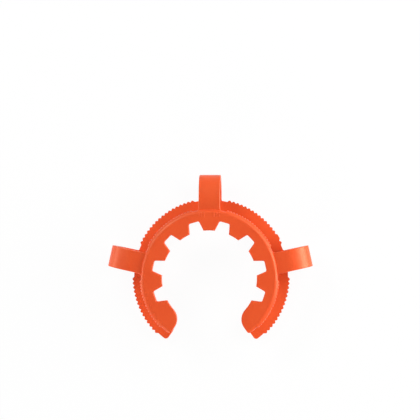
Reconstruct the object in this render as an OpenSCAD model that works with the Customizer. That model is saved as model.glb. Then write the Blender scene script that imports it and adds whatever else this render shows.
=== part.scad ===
// Spring clip for a conical ground glass joint, moulded as one piece of acetal.
// A toothed plate grips the tube of the cone and a wider plate seats behind the rim of the socket.
// Three bowed straps join the plates and pull the joint together.
// Millimetres. Z is the axis of the joint, and the socket plate lies on Z = 0.
// Angles are measured round Z from the middle strap, which points along +Y, towards +X.

/* [Joint] */
// Bore at the tips of the teeth, which grips the tube of the cone
tube_bore_d = 32; // [30:0.5:33]
// Bore of the socket plate, which seats behind the rim of the socket
socket_bore_d = 40.8; // [40:0.2:43]
// Clear height between the two plates
gap_h = 9; // [7:0.5:12]

/* [Plates] */
// Thickness of each plate
plate_t = 2.7; // [2.5:0.1:3.5]
// Width of the tube plate from the tips of its teeth to its smooth rim
tube_plate_w = 7; // [6.5:0.1:8]
// Width of the socket plate from its bore to its smooth rim
socket_plate_w = 5.9; // [5:0.1:7]
// Rounding of the rim edge on the outer face of each plate
rim_fillet = 1.2; // [0.6:0.1:1.5]
// Angle from the middle strap to the end of each plate, at the mouth
mouth_end = 144.7; // [140:0.1:148]
// Nose radius of the lobes beside the mouth of the tube plate
tube_nose_r = 4.75; // [3:0.25:5]
// Nose radius beside the mouth of the socket plate
socket_nose_r = 2.8; // [1:0.1:3.5]
// Radius of the outer corner at each end of a plate
end_corner_r = 1; // [0.5:0.1:1.5]

/* [Teeth] */
// Number of whole teeth between the two lobes
tooth_count = 7; // [5:2:7]
// Angle from one tooth to the next
tooth_pitch = 31.1; // [29:0.1:32]
// Width of the tip of each tooth
tooth_tip_w = 3.7; // [3:0.1:4]
// Depth of the gullets between the teeth
tooth_depth = 3.3; // [2.5:0.1:4]
// Angle between each flank and the middle line of its tooth
tooth_flank = 27; // [22:1:30]
// Radius of the inner corners of each gullet
gullet_fillet = 0.6; // [0.3:0.1:0.9]

/* [Grip ridges] */
// Angle from one ridge to the next on the socket plate
ridge_pitch = 3.1; // [2.5:0.1:5]
// Angle from one ridge to the next on the tube plate
tube_ridge_pitch = 2.55; // [2.3:0.05:5]
// How far the ridged bands stand out from the smooth rim
ridge_base = 0.1; // [0.05:0.05:0.3]
// Height of the ridges above their bands on the socket plate
ridge_h = 0.5; // [0.3:0.1:0.8]
// Height of the ridges above their bands on the tube plate
tube_ridge_h = 0.4; // [0.3:0.1:0.8]
// Width of the crest of each ridge
ridge_crest = 0.3; // [0.1:0.05:0.5]
// Angle kept smooth on each side of a strap on the socket plate
ridge_clear = 12.4; // [12:0.1:15]
// Angle kept smooth on each side of a strap on the tube plate
tube_ridge_clear = 14.4; // [12:0.1:16]
// Angle kept smooth at each end of a plate
ridge_end_clear = 8; // [4:1:12]

/* [Straps] */
// Angle from the middle strap to each side strap
strap_spread = 77.6; // [70:0.1:82]
// Width of each strap
strap_w = 7.2; // [5:0.1:7.6]
// Thickness of each strap
strap_t = 1.8; // [1.4:0.1:1.9]
// Flat length of each strap from the smooth rim of the socket plate to its bend
strap_leg = 2.2; // [1.5:0.1:5]
// Rounding of the long outer edges of each strap
strap_edge_r = 0.25; // [0.2:0.05:1]
// Fillet between the sides of each strap and the rim of the tube plate
tube_root_r = 1; // [0.5:0.1:1.2]
// Fillet between the sides of each strap and the rim of the socket plate
socket_root_r = 0.5; // [0.4:0.1:1.2]

/* [Moulding marks] */
// Distances of the fine ribs from the middle line of the middle strap
rib_offsets = [1.65, 2.65, 3.4];
// Distance from the smooth rim of the tube plate to the fine ribs
rib_inset = 1; // [0.8:0.1:1.5]
// Length of each fine rib
rib_l = 1.4; // [0.8:0.1:2]
// Width of each fine rib
rib_w = 0.35; // [0.2:0.05:0.5]
// Height of each fine rib above the face of the tube plate
rib_h = 0.1; // [0.1:0.05:0.3]
// Angle from the middle strap to the trimmed gate, on the rim of the socket plate
gate_angle = 58.9; // [20:0.1:60]
// Width of the trimmed gate
gate_w = 2.2; // [1.5:0.1:2.5]
// Height of the trimmed gate above the smooth rim
gate_h = 0.7; // [0.4:0.1:1]

/* [Hidden] */
acetal = "#E9592E";
$fn = 96;

// Shapes that meet sink this far into each other, and an arc stops this short of a circle it runs into.
seam = 0.02;
// How far cutting shapes run past what they cut, and joining shapes run into what they join.
spare = 2;
// How far the flares of a strap run in under its flat middle.
flare_lap = 0.5;

tube_bore_r = tube_bore_d / 2;
socket_bore_r = socket_bore_d / 2;
tube_rim_r = tube_bore_r + tube_plate_w;
socket_rim_r = socket_bore_r + socket_plate_w;
clip_h = plate_t + gap_h + plate_t;
mid_z = clip_h / 2;
bend_y = socket_rim_r + strap_leg;
strap_angles = [-strap_spread, 0, strap_spread];

// A point at radius r and angle a, measured from +Y towards +X.
function polar(r, a) = [r * sin(a), r * cos(a)];

// Points of an arc about a centre, both ends included.
function arc(centre, r, from, to, steps = 12) =
    [for (i = [0 : steps]) centre + polar(r, from + (to - from) * i / steps)];

// The same points on the other side of the Y axis, in reverse order.
function mirrored(points) =
    [for (i = [len(points) - 1 : -1 : 0]) [-points[i].x, points[i].y]];

// What rounding leaves to cut away outside a corner, with the rounding's centre at the origin.
module corner_waste(r) {
    difference() {
        square(r + spare);
        circle(r);
    }
}

// One side of the mouth: over the nose, along the end and round the outer corner.
function mouth_side(bore_r, rim_r, nose_r) =
    let (
        nose_c = bore_r + nose_r + seam,
        corner_c = rim_r - end_corner_r - seam,
        nose_a = mouth_end - asin(nose_r / nose_c),
        corner_a = mouth_end - asin(end_corner_r / corner_c),
        outside = polar(rim_r + spare, corner_a)
    )
    concat(
        [polar(bore_r - spare, nose_a)],
        arc(polar(nose_c, nose_a), nose_r, nose_a + 180, mouth_end + 90),
        arc(polar(corner_c, corner_a), end_corner_r, mouth_end + 90, corner_a),
        [outside, [outside.x, -rim_r - spare]]
    );

// The mouth, through which the clip is pushed on from the side.
module mouth(bore_r, rim_r, nose_r) {
    side = mouth_side(bore_r, rim_r, nose_r);
    polygon(concat(side, mirrored(side)));
}

// A round plate from z = 0 up, with its upper edge rounded.
module disc(r) {
    rotate_extrude() difference() {
        square([r, plate_t]);
        translate([r - rim_fillet, plate_t - rim_fillet]) corner_waste(rim_fillet);
    }
}

// The same out to the crests of the ridges, with its rounding begun where the rim's begins. It is
// rounded in flat steps, which a ridged edge can be cut to cleanly.
module stepped_disc(rim_r, height) {
    crest_r = rim_r + ridge_base + height;
    round_r = crest_r - rim_r + rim_fillet;
    centre = [crest_r - round_r, plate_t - round_r];
    rotate_extrude()
        polygon(concat([[0, plate_t], [0, 0], [crest_r, 0]], arc(centre, round_r, 90, 0, 5)));
}

// A run of whole ridges between two angles, on one band.
module ridge_run(rim_r, height, pitch, from, to) {
    count = floor((to - from) / pitch);
    crest_r = rim_r + ridge_base + height + seam;
    crest_half = asin(ridge_crest / 2 / crest_r);
    root = [for (i = [0 : count]) polar(rim_r + ridge_base, from + i * pitch)];
    crest = [for (i = [0 : count - 1], side = [-1, 1])
        polar(crest_r, from + (i + 0.5) * pitch + side * crest_half)];
    back = [for (i = [count : -1 : 0]) polar(rim_r - spare, from + i * pitch)];
    edge = [for (i = [0 : count - 1]) each [root[i], crest[2 * i], crest[2 * i + 1]]];
    intersection() {
        linear_extrude(plate_t) polygon(concat(edge, [root[count]], back));
        stepped_disc(rim_r, height);
    }
}

// What a flat outline cuts out of a plate, from face to face.
module cut_through() {
    translate([0, 0, -spare]) linear_extrude(plate_t + 2 * spare) children();
}

// The four runs of ridges on a rim.
module ridges(rim_r, height, pitch, clear) {
    for (side = [0, 1]) mirror([side, 0, 0]) {
        ridge_run(rim_r, height, pitch, clear, strap_spread - clear);
        ridge_run(rim_r, height, pitch, strap_spread + clear, mouth_end - ridge_end_clear);
    }
}

// An open ring with its inner face at z = 0. Its children are cut out of its outline.
module plate(bore_r, rim_r, nose_r) {
    difference() {
        disc(rim_r);
        cut_through() circle(bore_r);
        cut_through() mouth(bore_r, rim_r, nose_r);
        cut_through() children();
    }
}

// The gap between two teeth, on the +Y axis, with a rounded corner on each side of its floor.
module gullet() {
    tip_half = asin(tooth_tip_w / 2 / tube_bore_r);
    side = tooth_flank - tooth_pitch / 2;
    edge = polar(tube_bore_r, tooth_pitch / 2 - tip_half);
    floor_y = tube_bore_r + tooth_depth;
    floor_x = edge.x - (floor_y - edge.y) * tan(side);
    start_y = tube_bore_r - spare;
    corner = [floor_x - gullet_fillet / tan(45 + side / 2), floor_y - gullet_fillet];
    half = concat(
        [[floor_x + (floor_y - start_y) * tan(side), start_y]],
        arc(corner, gullet_fillet, 90 - side, 0, 6)
    );
    polygon(concat(half, mirrored(half)));
}

// The plate that grips the tube: gullets leave the teeth and the two lobes standing.
module tube_plate() {
    plate(tube_bore_r, tube_rim_r, tube_nose_r)
        for (i = [0 : tooth_count])
            rotate((tooth_count / 2 - i) * tooth_pitch) gullet();
    for (x = rib_offsets, side = [-1, 1])
        translate([side * x - rib_w / 2, tube_rim_r - rib_inset - rib_l, plate_t - rib_h])
            cube([rib_w, rib_l, 2 * rib_h]);
}

// The plain plate behind the rim of the socket.
module socket_plate() {
    plate(socket_bore_r, socket_rim_r, socket_nose_r);
}

// What is left of the gate on the rim of the socket plate, as a low block with sloping sides.
module gate() {
    face_w = gate_w - gate_h;
    rotate(-gate_angle) translate([0, socket_rim_r]) linear_extrude(plate_t - rim_fillet)
        polygon([
            [-gate_w / 2, -spare], [-gate_w / 2, 0], [-face_w / 2, gate_h],
            [face_w / 2, gate_h], [gate_w / 2, 0], [gate_w / 2, -spare]
        ]);
}

// The section of a strap, outer face up.
module strap_section() {
    difference() {
        translate([-strap_w / 2, 0]) square([strap_w, strap_t]);
        for (side = [0, 1]) mirror([side, 0])
            translate([strap_w / 2 - strap_edge_r, strap_t - strap_edge_r])
                corner_waste(strap_edge_r);
    }
}

// The flat end of a strap, from its bend into a plate, flared where it meets the rim.
module strap_root(rim_r, root_r) {
    flare_x = strap_w / 2 + root_r;
    flare_y = sqrt(pow(rim_r + root_r - seam, 2) - pow(flare_x, 2));
    core_w = strap_w - 2 * strap_edge_r;
    translate([0, bend_y, 0])
        rotate([90, 0, 0]) linear_extrude(bend_y - flare_y) strap_section();
    translate([-core_w / 2, rim_r - spare, 0])
        cube([core_w, flare_y - rim_r + spare, strap_t]);
    for (side = [0, 1])
        mirror([side, 0, 0]) translate([flare_x, flare_y, 0])
            rotate(180) rotate_extrude(angle = atan2(flare_y, flare_x)) difference() {
                translate([root_r, 0]) square([strap_edge_r + flare_lap, strap_t]);
                translate([root_r + strap_edge_r, strap_t - strap_edge_r])
                    mirror([1, 0]) corner_waste(strap_edge_r);
            }
}

// The half-round bend of a strap on the +Y axis.
module strap_bend() {
    translate([0, bend_y, mid_z]) rotate([0, 90, 0])
        rotate_extrude(angle = 180)
            translate([gap_h / 2, 0]) rotate(-90) strap_section();
}

// Puts what is drawn with its inner face on z = 0 at the top or at the bottom of the clip.
module at_top() {
    translate([0, 0, plate_t + gap_h]) children();
}

module at_bottom() {
    translate([0, 0, plate_t]) mirror([0, 0, 1]) children();
}

module clip() {
    color(acetal) {
        at_top() tube_plate();
        at_top() ridges(tube_rim_r, tube_ridge_h, tube_ridge_pitch, tube_ridge_clear);
        at_bottom() socket_plate();
        at_bottom() ridges(socket_rim_r, ridge_h, ridge_pitch, ridge_clear);
        at_bottom() gate();
        for (a = strap_angles) rotate(-a) {
            at_top() strap_root(tube_rim_r, tube_root_r);
            at_bottom() strap_root(socket_rim_r, socket_root_r);
            strap_bend();
        }
    }
}

clip();
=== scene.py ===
"""Looks of a clip for conical ground glass joints: one springy piece of moulded orange acetal.

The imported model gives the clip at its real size, lying flat with its socket plate on the table.
This script dresses it, sets it on a white table under soft studio lamps and places the camera.
Lengths in the classes are metres unless a name says otherwise. The clip's middle strap points
along +Y, and the axis of the glass joint is Z.
"""

import logging
import math
from dataclasses import dataclass, field
from enum import Enum
from typing import Any

import bmesh
import bpy
from mathutils import Matrix, Vector


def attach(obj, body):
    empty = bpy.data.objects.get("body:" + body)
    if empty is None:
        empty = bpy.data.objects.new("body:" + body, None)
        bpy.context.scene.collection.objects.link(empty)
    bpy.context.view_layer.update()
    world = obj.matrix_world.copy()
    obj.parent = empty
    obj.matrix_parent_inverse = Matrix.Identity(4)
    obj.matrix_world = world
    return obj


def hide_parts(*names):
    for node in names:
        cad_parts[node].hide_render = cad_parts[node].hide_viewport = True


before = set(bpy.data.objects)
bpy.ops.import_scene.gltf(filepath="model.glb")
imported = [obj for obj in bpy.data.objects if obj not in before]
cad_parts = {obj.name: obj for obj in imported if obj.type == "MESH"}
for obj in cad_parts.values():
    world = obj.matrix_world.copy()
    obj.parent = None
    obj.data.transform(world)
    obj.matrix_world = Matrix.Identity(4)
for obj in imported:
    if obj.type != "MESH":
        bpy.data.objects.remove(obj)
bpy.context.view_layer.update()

log = logging.getLogger("clip")
MM = 0.001
WHITE = "FFFFFF"
NOISE_SPAN = (0.3, 0.7)  # holds most values of a noise pattern


def linear(colour: str) -> tuple[float, float, float, float]:
    """Turn an sRGB hex colour into a linear one.

    Args:
        colour: The colour as six hex digits, such as "E9592E".

    Returns:
        Red, green, blue and an alpha of 1, all linear.
    """
    parts = [int(colour[i:i + 2], 16) / 255 for i in (0, 2, 4)]
    red, green, blue = (c / 12.92 if c <= 0.04045 else ((c + 0.055) / 1.055) ** 2.4 for c in parts)
    return red, green, blue, 1.0


def add_node(tree: bpy.types.NodeTree, kind: str, settings: dict[str, Any] | None = None,
             inputs: dict[str | int, Any] | None = None) -> bpy.types.Node:
    """Add a node with its settings, plain input values and links.

    Args:
        tree: The node tree that gets the node.
        kind: The node's type name, such as "ShaderNodeTexNoise".
        settings: Properties of the node itself, by name.
        inputs: A value for an input by name or number, or the output socket that feeds it.

    Returns:
        The new node.
    """
    node = tree.nodes.new(kind)
    for name, value in (settings or {}).items():
        setattr(node, name, value)
    for name, value in (inputs or {}).items():
        if isinstance(value, bpy.types.NodeSocket):
            tree.links.new(value, node.inputs[name])
        else:
            node.inputs[name].default_value = value
    return node


def new_material(name: str) -> tuple[bpy.types.Material, bpy.types.NodeTree]:
    """Make an empty node material.

    Args:
        name: The material's name.

    Returns:
        The material and its node tree.
    """
    material = bpy.data.materials.new(name)
    material.use_nodes = True
    material.node_tree.nodes.clear()
    return material, material.node_tree


def per_metre(size_mm: float) -> float:
    """Give the scale, on coordinates in metres, at which noise has spots of about this size."""
    return 1 / (size_mm * MM)


def seen_by_eye(tree: bpy.types.NodeTree) -> bpy.types.NodeSocket:
    """Add nodes that tell whether the eye sees a thing, also in a reflection or through glass.

    Args:
        tree: The node tree.

    Returns:
        The socket with 1 where the eye sees the thing, and 0 where the thing would light others.
    """
    path = add_node(tree, "ShaderNodeLightPath")
    direct = add_node(tree, "ShaderNodeMath", {"operation": "MAXIMUM"}, {
        0: path.outputs["Is Camera Ray"], 1: path.outputs["Is Glossy Ray"]})
    either = add_node(tree, "ShaderNodeMath", {"operation": "MAXIMUM"}, {
        0: direct.outputs[0], 1: path.outputs["Is Transmission Ray"]})
    return either.outputs[0]


@dataclass(frozen=True)
class MouldedAcetal:
    """Acetal, injection moulded in a spark-eroded mould: a satin orange with soft, wide highlights.

    The pigment is mixed into the plastic, so its colour drifts only a little, along the way the
    melt flowed in. Light runs a short way into it. Its edges are painted paler: partly wear, and
    partly a painted highlight where the edges catch the light.
    """

    # Pigment: the body colour drifts to a paler one, in wide flows and in fine specks.
    body: str = "DE4E24"
    pale_flow: str = "E45528"
    flow_mm: float = 9.0
    flow_drift: tuple[float, float] = (0.0, 0.8)
    pigment_mm: float = 0.7
    pigment_drift: tuple[float, float] = (-0.15, 0.35)

    # Satin gloss, smeared a little by handling.
    ior: float = 1.48
    glint: str = "FFDDB4"
    roughness: float = 0.40
    smear_mm: float = 2.6
    smear_amount: float = 0.04

    # Edges, worn smoother and painted paler in broken stretches. The paler colour is partly wear
    # and partly a painted highlight where the edges catch the light. The edges are found by the
    # cosine of the turn between the surface and a rounded one, from where the paler, smoother edge
    # begins to where it is full.
    edge_mm: float = 0.3
    edge_samples: int = 6
    edge_turn: tuple[float, float] = (0.99, 0.85)
    pale_edge_wear_and_highlight: str = "F4713F"
    edge_wear_and_highlight_amount: float = 0.45
    edge_wear_and_highlight_stretches: tuple[float, float] = (0.4, 1.0)
    rubbed_smoother: float = 0.08

    # Light below the surface, where red runs the furthest.
    glow_weight: float = 0.12
    glow_reach_mm: tuple[float, float, float] = (0.9, 0.35, 0.15)

    # Relief of the moulded face. The real grain is about 0.1 mm, too fine to show, so it is drawn
    # a few times coarser.
    sink_mm: float = 5.0
    sink_depth_mm: float = 0.02
    grain_mm: float = 0.4
    grain_depth_mm: float = 0.004

    def material(self) -> bpy.types.Material:
        """Build the material.

        Returns:
            The finished material.
        """
        material, tree = new_material("moulded_acetal_orange")
        place = add_node(tree, "ShaderNodeTexCoord").outputs["Object"]
        edge = self.edge(tree, place)
        shader = add_node(tree, "ShaderNodeBsdfPrincipled", inputs={
            "Base Color": self.colour(tree, place, edge),
            "Roughness": self.gloss(tree, place, edge),
            "IOR": self.ior,
            "Specular Tint": linear(self.glint),
            "Subsurface Weight": self.glow_weight,
            "Subsurface Radius": tuple(reach * MM for reach in self.glow_reach_mm),
            "Subsurface Scale": 1.0,
            "Normal": self.relief(tree, place),
        })
        add_node(tree, "ShaderNodeOutputMaterial", inputs={"Surface": shader.outputs["BSDF"]})
        return material

    def spots(self, tree: bpy.types.NodeTree, place: bpy.types.NodeSocket, size_mm: float,
              values: tuple[float, float], detail: float = 2.0) -> bpy.types.NodeSocket:
        """Add a noise pattern whose value is spread over a range.

        Args:
            tree: The node tree.
            place: The coordinates to read.
            size_mm: The size of its spots.
            values: The value in its hollows and the one on its hills.
            detail: How many finer patterns are laid over it.

        Returns:
            The socket with the value.
        """
        noise = add_node(tree, "ShaderNodeTexNoise", inputs={
            "Vector": place, "Scale": per_metre(size_mm), "Detail": detail, "Roughness": 0.5})
        spread = add_node(tree, "ShaderNodeMapRange", inputs={
            "Value": noise.outputs["Fac"], "From Min": NOISE_SPAN[0], "From Max": NOISE_SPAN[1],
            "To Min": values[0], "To Max": values[1]})
        return spread.outputs["Result"]

    def edge(self, tree: bpy.types.NodeTree, place: bpy.types.NodeSocket) -> bpy.types.NodeSocket:
        """Add nodes that find the sharp edges, in broken stretches.

        Args:
            tree: The node tree.
            place: The coordinates to read.

        Returns:
            The socket with a value near 1 on sharp edges and 0 elsewhere.
        """
        rounded = add_node(tree, "ShaderNodeBevel", {"samples": self.edge_samples}, {
            "Radius": self.edge_mm * MM})
        flat = add_node(tree, "ShaderNodeNewGeometry")
        turned = add_node(tree, "ShaderNodeVectorMath", {"operation": "DOT_PRODUCT"}, {
            0: rounded.outputs["Normal"], 1: flat.outputs["Normal"]})
        mask = add_node(tree, "ShaderNodeMapRange", inputs={
            "Value": turned.outputs["Value"], "From Min": self.edge_turn[0],
            "From Max": self.edge_turn[1], "To Min": 0.0, "To Max": 1.0})
        broken = add_node(tree, "ShaderNodeMath", {"operation": "MULTIPLY"}, {
            0: mask.outputs["Result"],
            1: self.spots(tree, place, self.smear_mm, self.edge_wear_and_highlight_stretches)})
        return broken.outputs[0]

    def colour(self, tree: bpy.types.NodeTree, place: bpy.types.NodeSocket,
               edge: bpy.types.NodeSocket) -> bpy.types.NodeSocket:
        """Add the colour: drifting pigment, fine specks, and edges painted paler, partly as wear
        and partly as a painted highlight.

        Args:
            tree: The node tree.
            place: The coordinates to read.
            edge: The socket that tells where the edges are.

        Returns:
            The socket with the colour.
        """
        drift = add_node(tree, "ShaderNodeMath", {"operation": "ADD"}, {
            0: self.spots(tree, place, self.flow_mm, self.flow_drift),
            1: self.spots(tree, place, self.pigment_mm, self.pigment_drift)})
        flow = add_node(tree, "ShaderNodeMix", {"data_type": "RGBA"}, {
            "Factor": drift.outputs[0], 6: linear(self.body), 7: linear(self.pale_flow)})
        # Edges painted paler: partly wear, partly a painted highlight where the edges catch the
        # light.
        amount = add_node(tree, "ShaderNodeMath", {"operation": "MULTIPLY"}, {
            0: edge, 1: self.edge_wear_and_highlight_amount})
        pale_edge_wear_and_highlight = add_node(tree, "ShaderNodeMix", {"data_type": "RGBA"}, {
            "Factor": amount.outputs[0], 6: flow.outputs[2], 7: linear(self.pale_edge_wear_and_highlight)})
        return pale_edge_wear_and_highlight.outputs[2]

    def gloss(self, tree: bpy.types.NodeTree, place: bpy.types.NodeSocket,
              edge: bpy.types.NodeSocket) -> bpy.types.NodeSocket:
        """Add the roughness: smeared a little by handling, and smoother where edges are rubbed.

        Args:
            tree: The node tree.
            place: The coordinates to read.
            edge: The socket that tells where the edges are.

        Returns:
            The socket with the roughness.
        """
        smeared = self.spots(tree, place, self.smear_mm,
                             (self.roughness - self.smear_amount,
                              self.roughness + self.smear_amount))
        worn = add_node(tree, "ShaderNodeMath", {"operation": "MULTIPLY_ADD"}, {
            0: edge, 1: -self.rubbed_smoother, 2: smeared})
        return worn.outputs[0]

    def relief(self, tree: bpy.types.NodeTree, place: bpy.types.NodeSocket) -> bpy.types.NodeSocket:
        """Add the relief: faint sink marks under a fine eroded grain.

        Args:
            tree: The node tree.
            place: The coordinates to read.

        Returns:
            The socket with the surface's direction.
        """
        sink = add_node(tree, "ShaderNodeBump", inputs={
            "Strength": 1.0, "Distance": self.sink_depth_mm * MM,
            "Height": self.spots(tree, place, self.sink_mm, (0.0, 1.0), detail=0.0)})
        grain = add_node(tree, "ShaderNodeBump", inputs={
            "Strength": 1.0, "Distance": self.grain_depth_mm * MM,
            "Height": self.spots(tree, place, self.grain_mm, (0.0, 1.0), detail=1.0),
            "Normal": sink.outputs["Normal"]})
        return grain.outputs["Normal"]


class Level(Enum):
    """The levels of the clip that have sharp edges to ease."""

    SOCKET_PLATE = "socket plate"
    TUBE_PLATE = "tube plate"
    RIBS = "fine ribs on the tube plate"


@dataclass
class JointClip:
    """The clip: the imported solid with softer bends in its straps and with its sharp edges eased.

    The rims and the straps' outer edges are rounded already, so only the edges round the bores,
    teeth, lobes and mouth are eased, and those of the fine ribs.
    """

    node: str = "clip"
    finish: MouldedAcetal = field(default_factory=MouldedAcetal)

    # Points closer than merge_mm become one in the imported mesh, and closer than weld_mm at the
    # eased edges. Faces turned by less than flat_within from each other become one.
    merge_mm: float = 0.021
    weld_mm: float = 0.001
    flat_within: float = math.radians(0.5)

    # Straps: the height of their middle, the start and the radius of the solid's half round, and
    # the start of the softer bow, which is cut across a few times so that it bends evenly. Points
    # within cut_within_mm of a cut lie on it. The bow is measured up to tip_mm before its end,
    # where both heights come to nothing.
    middle_mm: float = 7.2
    strap_angles_deg: tuple[float, ...] = (-77.6, 0.0, 77.6)
    bend_from_mm: float = 28.5
    bend_mm: float = 6.3
    bow_from_mm: float = 26.6
    bow_cuts: int = 6
    cut_within_mm: float = 0.0001
    tip_mm: float = 0.01

    # Edges to ease: how sharp they are, how level the face beside them is, where the ribs begin,
    # and how far from the axis the edges lie.
    sharp_from: float = math.radians(40)
    level_face: float = 0.99
    ribs_above_mm: float = 14.45
    socket_rim_mm: float = 26.1
    tube_rim_mm: float = 22.8
    gullets_end_mm: float = 19.8

    # How they are eased, and how smoothly the rest is shaded.
    edge_radius_mm: float = 0.3
    rib_radius_mm: float = 0.07
    edge_steps: int = 3
    smooth_within: float = math.radians(30)

    def build(self) -> bpy.types.Object:
        """Make the clip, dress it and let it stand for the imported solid.

        Returns:
            The finished clip.
        """
        clip = self.copied()
        self.merge(clip)
        self.bow_straps(clip)
        self.ease_edges(clip)
        self.shade(clip)
        clip.data.materials.clear()
        clip.data.materials.append(self.finish.material())
        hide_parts(self.node)
        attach(clip, "root")
        return clip

    def copied(self) -> bpy.types.Object:
        """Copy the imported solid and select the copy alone.

        Returns:
            The copy, with its own mesh.
        """
        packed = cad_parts[self.node]
        clip = bpy.data.objects.new("joint_clip", packed.data.copy())
        bpy.context.scene.collection.objects.link(clip)
        bpy.ops.object.select_all(action="DESELECT")
        clip.select_set(True)
        bpy.context.view_layer.objects.active = clip
        return clip

    def merge(self, clip: bpy.types.Object) -> None:
        """Join the loose triangles into one closed skin and drop the lines within flat faces.

        A sliver that the joining leaves beside the skin is found by its open edges and deleted.

        Args:
            clip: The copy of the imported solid, selected alone.
        """
        bpy.ops.object.mode_set(mode="EDIT")
        bpy.ops.mesh.select_all(action="SELECT")
        bpy.ops.mesh.remove_doubles(threshold=self.merge_mm * MM)
        bpy.ops.mesh.dissolve_degenerate(threshold=self.weld_mm * MM)
        bpy.ops.mesh.dissolve_limited(angle_limit=self.flat_within)
        bpy.ops.mesh.select_all(action="DESELECT")
        bpy.ops.mesh.select_non_manifold()
        bpy.ops.mesh.delete(type="EDGE_FACE")
        bpy.ops.object.mode_set(mode="OBJECT")
        bpy.ops.mesh.customdata_custom_splitnormals_clear()

    def bow_straps(self, clip: bpy.types.Object) -> None:
        """Let the bend of each strap begin earlier and more softly than a plain half round.

        Args:
            clip: The clip as one closed skin.
        """
        mesh = bmesh.new()
        mesh.from_mesh(clip.data)
        lead_mm = self.bend_from_mm - self.bow_from_mm
        for angle in map(math.radians, self.strap_angles_deg):
            along = Vector((math.sin(angle), math.cos(angle), 0))
            for cut in range(self.bow_cuts):
                reach_mm = self.bow_from_mm + lead_mm * cut / self.bow_cuts
                bmesh.ops.bisect_plane(
                    mesh, geom=[*mesh.verts, *mesh.edges, *mesh.faces],
                    dist=self.cut_within_mm * MM, plane_co=along * reach_mm * MM, plane_no=along)
            for vert in mesh.verts:
                squeeze = self.squeeze(vert.co.dot(along) / MM)
                vert.co.z = (self.middle_mm + (vert.co.z / MM - self.middle_mm) * squeeze) * MM
        mesh.to_mesh(clip.data)
        mesh.free()

    def squeeze(self, reach_mm: float) -> float:
        """Say how much lower the bowed strap stands than the half round.

        Args:
            reach_mm: The distance from the joint's axis along the strap.

        Returns:
            The height of the bowed strap as a share of the height of the half round.
        """
        if reach_mm <= self.bow_from_mm:
            return 1.0
        end_mm = self.bend_from_mm + self.bend_mm
        reach_mm = min(reach_mm, end_mm - self.tip_mm)
        bow = math.sqrt(1 - ((reach_mm - self.bow_from_mm) / (end_mm - self.bow_from_mm)) ** 2)
        half_round = math.sqrt(1 - (max(reach_mm - self.bend_from_mm, 0) / self.bend_mm) ** 2)
        return bow / half_round

    def ease_edges(self, clip: bpy.types.Object) -> None:
        """Round the sharp edges, each by its own small radius.

        Args:
            clip: The clip with its straps bowed, selected alone.
        """
        mesh = bmesh.new()
        mesh.from_mesh(clip.data)
        weight = mesh.edges.layers.float.new("bevel_weight_edge")
        for edge in mesh.edges:
            edge[weight] = self.easing_mm(edge) / self.edge_radius_mm
        mesh.to_mesh(clip.data)
        mesh.free()
        bevel = clip.modifiers.new("eased_edges", "BEVEL")
        bevel.limit_method = "WEIGHT"
        bevel.width = self.edge_radius_mm * MM
        bevel.segments = self.edge_steps
        bevel.use_clamp_overlap = False
        bpy.ops.object.modifier_apply(modifier=bevel.name)
        bpy.ops.object.mode_set(mode="EDIT")
        bpy.ops.mesh.select_all(action="SELECT")
        bpy.ops.mesh.remove_doubles(threshold=self.weld_mm * MM)
        bpy.ops.object.mode_set(mode="OBJECT")

    def shade(self, clip: bpy.types.Object) -> None:
        """Shade the clip smooth between its edges, and its flat faces flat.

        Args:
            clip: The clip with its edges eased, selected alone.
        """
        bpy.ops.object.shade_smooth_by_angle(angle=self.smooth_within)
        flat = clip.modifiers.new("flat_faces", "WEIGHTED_NORMAL")
        flat.keep_sharp = True
        bpy.ops.object.modifier_apply(modifier=flat.name)

    def level(self, height_mm: float) -> Level:
        """Say on which level of the clip a height lies.

        Args:
            height_mm: The height above the table.

        Returns:
            The level.
        """
        if height_mm > self.ribs_above_mm:
            return Level.RIBS
        return Level.TUBE_PLATE if height_mm > self.middle_mm else Level.SOCKET_PLATE

    def easing_mm(self, edge: bmesh.types.BMEdge) -> float:
        """Give the radius for a sharp edge beside a level face.

        Args:
            edge: An edge of the clip before its edges are eased.

        Returns:
            The radius in millimetres, and 0 for an edge that stays as it is.
        """
        if not edge.is_manifold or edge.calc_face_angle() < self.sharp_from:
            return 0.0
        if all(abs(face.normal.z) < self.level_face for face in edge.link_faces):
            return 0.0
        middle = (edge.verts[0].co + edge.verts[1].co) / 2 / MM
        level = self.level(middle.z)
        if level is Level.RIBS:
            return self.rib_radius_mm
        if level is Level.SOCKET_PLATE:
            reach_mm = self.socket_rim_mm
        else:
            # Past the gullets stand the straps' roots and the feet of the ribs, which stay as
            # they are, but beside the mouth the lobes' edges run out to the rim.
            reach_mm = self.tube_rim_mm if middle.y < 0 else self.gullets_end_mm
        return self.edge_radius_mm if middle.xy.length < reach_mm else 0.0


@dataclass(frozen=True)
class Softbox:
    """A rectangular studio lamp that points at the clip."""

    name: str
    place: tuple[float, float, float]
    size: tuple[float, float]
    power: float
    colour: str = WHITE
    aim: tuple[float, float, float] = (0.0, 0.0, 0.007)

    def build(self) -> bpy.types.Object:
        """Make the lamp.

        Returns:
            The lamp in its place.
        """
        lamp = bpy.data.lights.new(self.name, "AREA")
        lamp.shape = "RECTANGLE"
        lamp.size, lamp.size_y = self.size
        lamp.energy = self.power
        lamp.color = linear(self.colour)[:3]
        holder = bpy.data.objects.new(self.name, lamp)
        bpy.context.scene.collection.objects.link(holder)
        holder.location = self.place
        look = Vector(self.aim) - Vector(self.place)
        holder.rotation_euler = look.to_track_quat("-Z", "Y").to_euler()
        holder.visible_camera = False
        return holder


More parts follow.
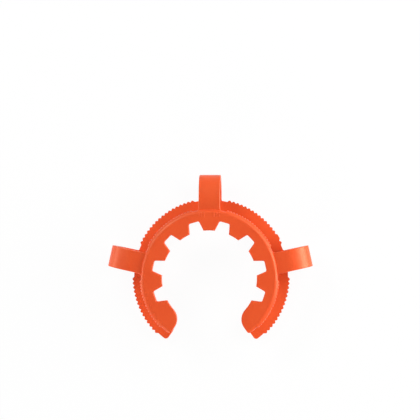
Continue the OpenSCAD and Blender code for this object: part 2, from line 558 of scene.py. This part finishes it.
@dataclass(frozen=True)
class WhiteLacquer:
    """White lacquer, sprayed on a table top: one even white, with a faint shadow under the clip.

    Most of its white is a glow that the eye sees and that lights nothing. The rest is plain
    lacquer, which takes the clip's shadow.
    """

    white: str = "F3F3F3"
    glow: float = 0.95

    def material(self) -> bpy.types.Material:
        """Build the material.

        Returns:
            The finished material.
        """
        material, tree = new_material("white_lacquered_table")
        lacquer = add_node(tree, "ShaderNodeBsdfDiffuse", inputs={"Color": linear(self.white)})
        glow = add_node(tree, "ShaderNodeEmission", inputs={
            "Color": linear(WHITE), "Strength": 1.0})
        amount = add_node(tree, "ShaderNodeMath", {"operation": "MULTIPLY"}, {
            0: seen_by_eye(tree), 1: self.glow})
        mixed = add_node(tree, "ShaderNodeMixShader", inputs={
            0: amount.outputs[0], 1: lacquer.outputs[0], 2: glow.outputs[0]})
        add_node(tree, "ShaderNodeOutputMaterial", inputs={"Surface": mixed.outputs[0]})
        return material


@dataclass
class Studio:
    """A white table, white surroundings that shed no light, and soft lamps that shed it all."""

    table_size: float = 6.0
    finish: WhiteLacquer = field(default_factory=WhiteLacquer)
    lamps: tuple[Softbox, ...] = (
        Softbox("low_right", (0.4, 0.0556, 0.12), (0.26, 0.22), 2.34),
        Softbox("left", (-0.42, 0.0, 0.065), (0.22, 0.12), 0.63),
        Softbox("behind_left", (-0.24, 0.24, 0.275), (0.22, 0.12), 0.98),
        Softbox("behind_right", (0.24, 0.24, 0.275), (0.22, 0.12), 0.62),
        Softbox("low_front", (-0.1394, -0.3829, 0.109), (0.22, 0.12), 1.23),
    )

    def build(self) -> None:
        """Set up the table, the surroundings and the lamps."""
        table = self.table()
        log.info("table %s, %.1f m across", table.name, self.table_size)
        self.surroundings()
        for softbox in self.lamps:
            log.info("lamp %s", softbox.build().name)

    def table(self) -> bpy.types.Object:
        """Lay a white table under the clip.

        Returns:
            The table.
        """
        bpy.ops.object.select_all(action="DESELECT")
        bpy.ops.mesh.primitive_plane_add(size=self.table_size, location=(0, 0, 0))
        table = bpy.context.active_object
        table.name = "table"
        table.data.materials.append(self.finish.material())
        return table

    def surroundings(self) -> None:
        """Make the surroundings white to the eye, and dark to all that they would light."""
        world = bpy.data.worlds.new("studio")
        bpy.context.scene.world = world
        world.use_nodes = True
        tree = world.node_tree
        tree.nodes.clear()
        white = add_node(tree, "ShaderNodeBackground", inputs={
            "Color": linear(WHITE), "Strength": seen_by_eye(tree)})
        add_node(tree, "ShaderNodeOutputWorld", inputs={"Surface": white.outputs[0]})


@dataclass
class Camera:
    """A long lens that looks down on the clip from above, a little from its right."""

    place: tuple[float, float, float] = (0.033, 0.0195, 0.614)
    aim: tuple[float, float, float] = (-0.00007, 0.0229, 0.0072)
    lens_mm: float = 153.6
    sensor_mm: float = 36.0
    nearest: float = 0.01
    furthest: float = 20.0

    def build(self) -> bpy.types.Object:
        """Make the camera, with the clip's middle strap upright in its view.

        Returns:
            The camera in its place.
        """
        lens = bpy.data.cameras.new("camera")
        lens.lens = self.lens_mm
        lens.sensor_width = self.sensor_mm
        lens.clip_start, lens.clip_end = self.nearest, self.furthest
        camera = bpy.data.objects.new("camera", lens)
        bpy.context.scene.collection.objects.link(camera)
        look = (Vector(self.aim) - Vector(self.place)).normalized()
        right = look.cross(Vector((0, 1, 0))).normalized()
        turn = Matrix((right, right.cross(look), -look)).transposed().to_4x4()
        camera.matrix_world = Matrix.Translation(self.place) @ turn
        bpy.context.scene.camera = camera
        return camera


def main() -> None:
    """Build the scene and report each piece."""
    logging.basicConfig(level=logging.INFO, format="%(message)s")
    bpy.context.scene.view_settings.view_transform = "Standard"
    camera = Camera().build()
    log.info("camera with a lens of %.1f mm", camera.data.lens)
    Studio().build()
    clip = JointClip().build()
    log.info("piece %s, %d faces", clip.name, len(clip.data.polygons))


if __name__ == "__main__":
    main()
